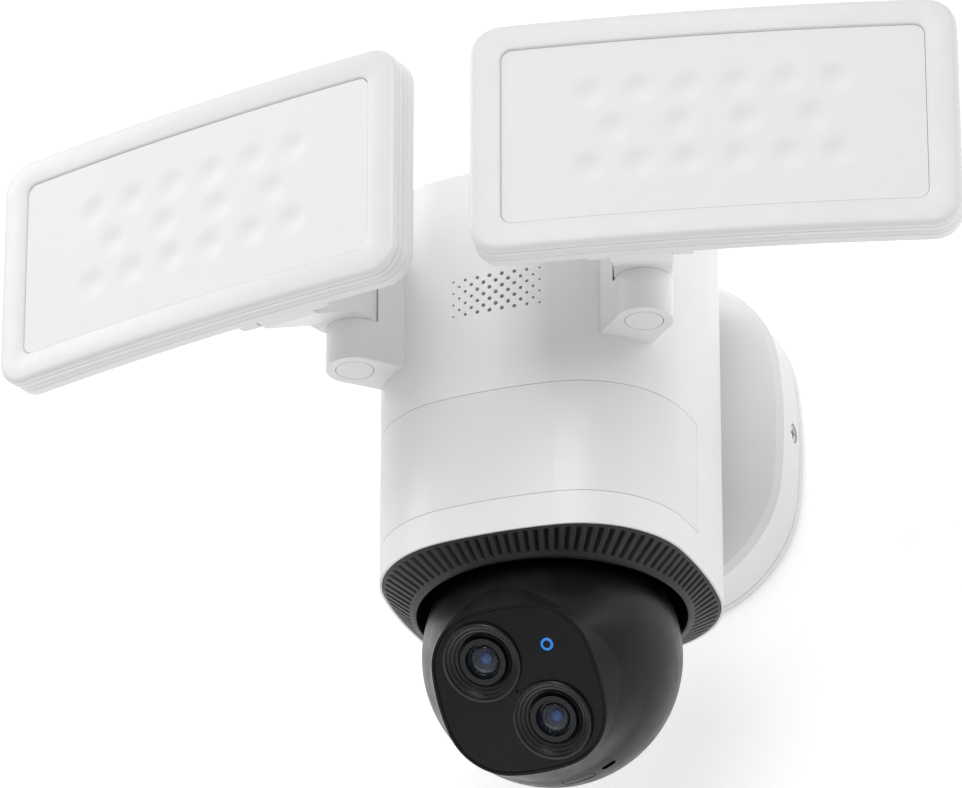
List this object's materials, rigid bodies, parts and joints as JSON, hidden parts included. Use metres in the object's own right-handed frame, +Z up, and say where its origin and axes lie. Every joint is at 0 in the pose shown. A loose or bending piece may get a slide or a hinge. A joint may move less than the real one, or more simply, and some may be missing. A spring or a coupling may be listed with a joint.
{
  "type": "floodlight security camera",
  "caption": "Wall-mounted floodlight camera: tall housing with hinged bowed lamp heads and a pan and tilt ball camera with a diagonal lens pair underneath.",
  "frame": {"origin": "centre of the wall base's screw pattern, on the wall plane", "axes": "+Z up, +Y into the wall, the camera and the lamps on the -Y side"},
  "size_m": [0.368, 0.2122, 0.2415],
  "materials": {
    "white_plastic": "matte moulded",
    "grey_rubber": "matte",
    "steel": "zinc plated",
    "cream_plastic": "matte",
    "window_plastic": "satin",
    "black_plastic": "satin",
    "dark_plastic": "matte",
    "motor_metal": "satin",
    "circuit_board": "solder resist",
    "gear_plastic": "acetal",
    "head_plastic": "satin",
    "gloss_black": "polished",
    "lens_ring_black": "satin",
    "lens_glass": "coated",
    "blue_light": "glowing",
    "diffuser": "frosted",
    "circuit_board_white": "white solder resist",
    "led_lens": "clear dome",
    "white_metal": "powder coated"
  },
  "bodies": {
    "base": {"wall_base": "white_plastic", "wall_gasket": "grey_rubber", "mounting_plate": "steel", "base_side_screws": "steel", "terminal_block": "cream_plastic", "neck_collar": "white_plastic", "housing_screws": "steel", "main_housing": "white_plastic", "sensor_window": "window_plastic", "vent_ring": "black_plastic", "chassis_plate": "dark_plastic", "pan_bearing": "steel", "pan_motor": "motor_metal", "speaker": "dark_plastic", "main_board": "circuit_board", "power_supply": "motor_metal", "motion_sensors": "motor_metal", "left_bracket": "white_plastic", "left_hinge_cap": "white_plastic", "left_yaw_pin": "steel", "left_friction_washer": "gear_plastic", "right_bracket": "white_plastic", "right_hinge_cap": "white_plastic", "right_yaw_pin": "steel", "right_friction_washer": "gear_plastic"},
    "pan_pinion": {"pan_pinion": "gear_plastic"},
    "pan_carrier": {"pan_carrier": "dark_plastic", "pan_gear": "gear_plastic", "tilt_motor": "motor_metal"},
    "tilt_pinion": {"tilt_pinion": "gear_plastic"},
    "camera_head": {"head_front_shell": "head_plastic", "head_rear_shell": "head_plastic", "face_plate": "gloss_black", "lens_rings": "lens_ring_black", "lens_barrels": "lens_ring_black", "lens_glasses": "lens_glass", "status_light": "blue_light", "camera_board": "circuit_board", "tilt_gear": "gear_plastic", "tilt_axle": "steel"},
    "card_cover": {"card_cover": "head_plastic"},
    "sync_button": {"sync_button": "head_plastic"},
    "left_arm": {"left_arm": "white_plastic"},
    "left_lamp": {"left_lamp_bezel": "white_plastic", "left_lamp_diffuser": "diffuser", "left_lamp_seal": "grey_rubber", "left_led_board": "circuit_board_white", "left_leds": "led_lens", "left_lamp_back": "white_metal", "left_lamp_clevis": "white_metal", "left_tilt_pin": "steel"},
    "right_arm": {"right_arm": "white_plastic"},
    "right_lamp": {"right_lamp_bezel": "white_plastic", "right_lamp_diffuser": "diffuser", "right_lamp_seal": "grey_rubber", "right_led_board": "circuit_board_white", "right_leds": "led_lens", "right_lamp_back": "white_metal", "right_lamp_clevis": "white_metal", "right_tilt_pin": "steel"}
  },
  "joints": [
    {"name": "head_pan", "type": "hinge", "parent": "base", "child": "pan_carrier", "pos_m": [0, -0.0882, -0.1147], "axis": [0, 0, 1], "range_deg": [-175, 175]},
    {"name": "head_tilt", "type": "hinge", "parent": "pan_carrier", "child": "camera_head", "pos_m": [0, -0.0882, -0.1147], "axis": [0.9981, -0.061, 0], "range_deg": [-18, 39]},
    {"name": "pan_pinion_spin", "type": "hinge", "parent": "base", "child": "pan_pinion", "pos_m": [0, -0.0572, -0.059], "axis": [0, 0, 1], "range_deg": [-730, 730]},
    {"name": "tilt_pinion_spin", "type": "hinge", "parent": "pan_carrier", "child": "tilt_pinion", "pos_m": [0.01357, -0.08903, -0.0955], "axis": [0.9981, -0.061, 0], "range_deg": [-120, 66]},
    {"name": "left_lamp_yaw", "type": "hinge", "parent": "base", "child": "left_arm", "pos_m": [-0.0556, -0.1438, 0.014], "axis": [0, 0, -1], "range_deg": [-8, 60]},
    {"name": "left_lamp_tilt", "type": "hinge", "parent": "left_arm", "child": "left_lamp", "pos_m": [-0.06794, -0.18303, -0.002], "axis": [0.9744, -0.225, 0], "range_deg": [-20, 45]},
    {"name": "right_lamp_yaw", "type": "hinge", "parent": "base", "child": "right_arm", "pos_m": [0.0556, -0.1438, 0.014], "axis": [0, 0, 1], "range_deg": [-8, 60]},
    {"name": "right_lamp_tilt", "type": "hinge", "parent": "right_arm", "child": "right_lamp", "pos_m": [0.06794, -0.18303, -0.002], "axis": [0.9744, 0.225, 0], "range_deg": [-20, 45]},
    {"name": "card_cover_hinge", "type": "hinge", "parent": "camera_head", "child": "card_cover", "pos_m": [0.00672, -0.07799, -0.15908], "axis": [0.9878, -0.0864, 0.1297], "range_deg": [0, 45]},
    {"name": "sync_button_press", "type": "slide", "parent": "camera_head", "child": "sync_button", "axis": [-0.3989, -0.1485, 0.9049], "range_m": [0, 0.0008], "stiffness_N_per_m": 400, "springref_m": -0.0002}
  ],
  "couplings": [
    {"joint": "pan_pinion_spin", "follows": "head_pan", "ratio": -4.1667},
    {"joint": "tilt_pinion_spin", "follows": "head_tilt", "ratio": -3}
  ]
}
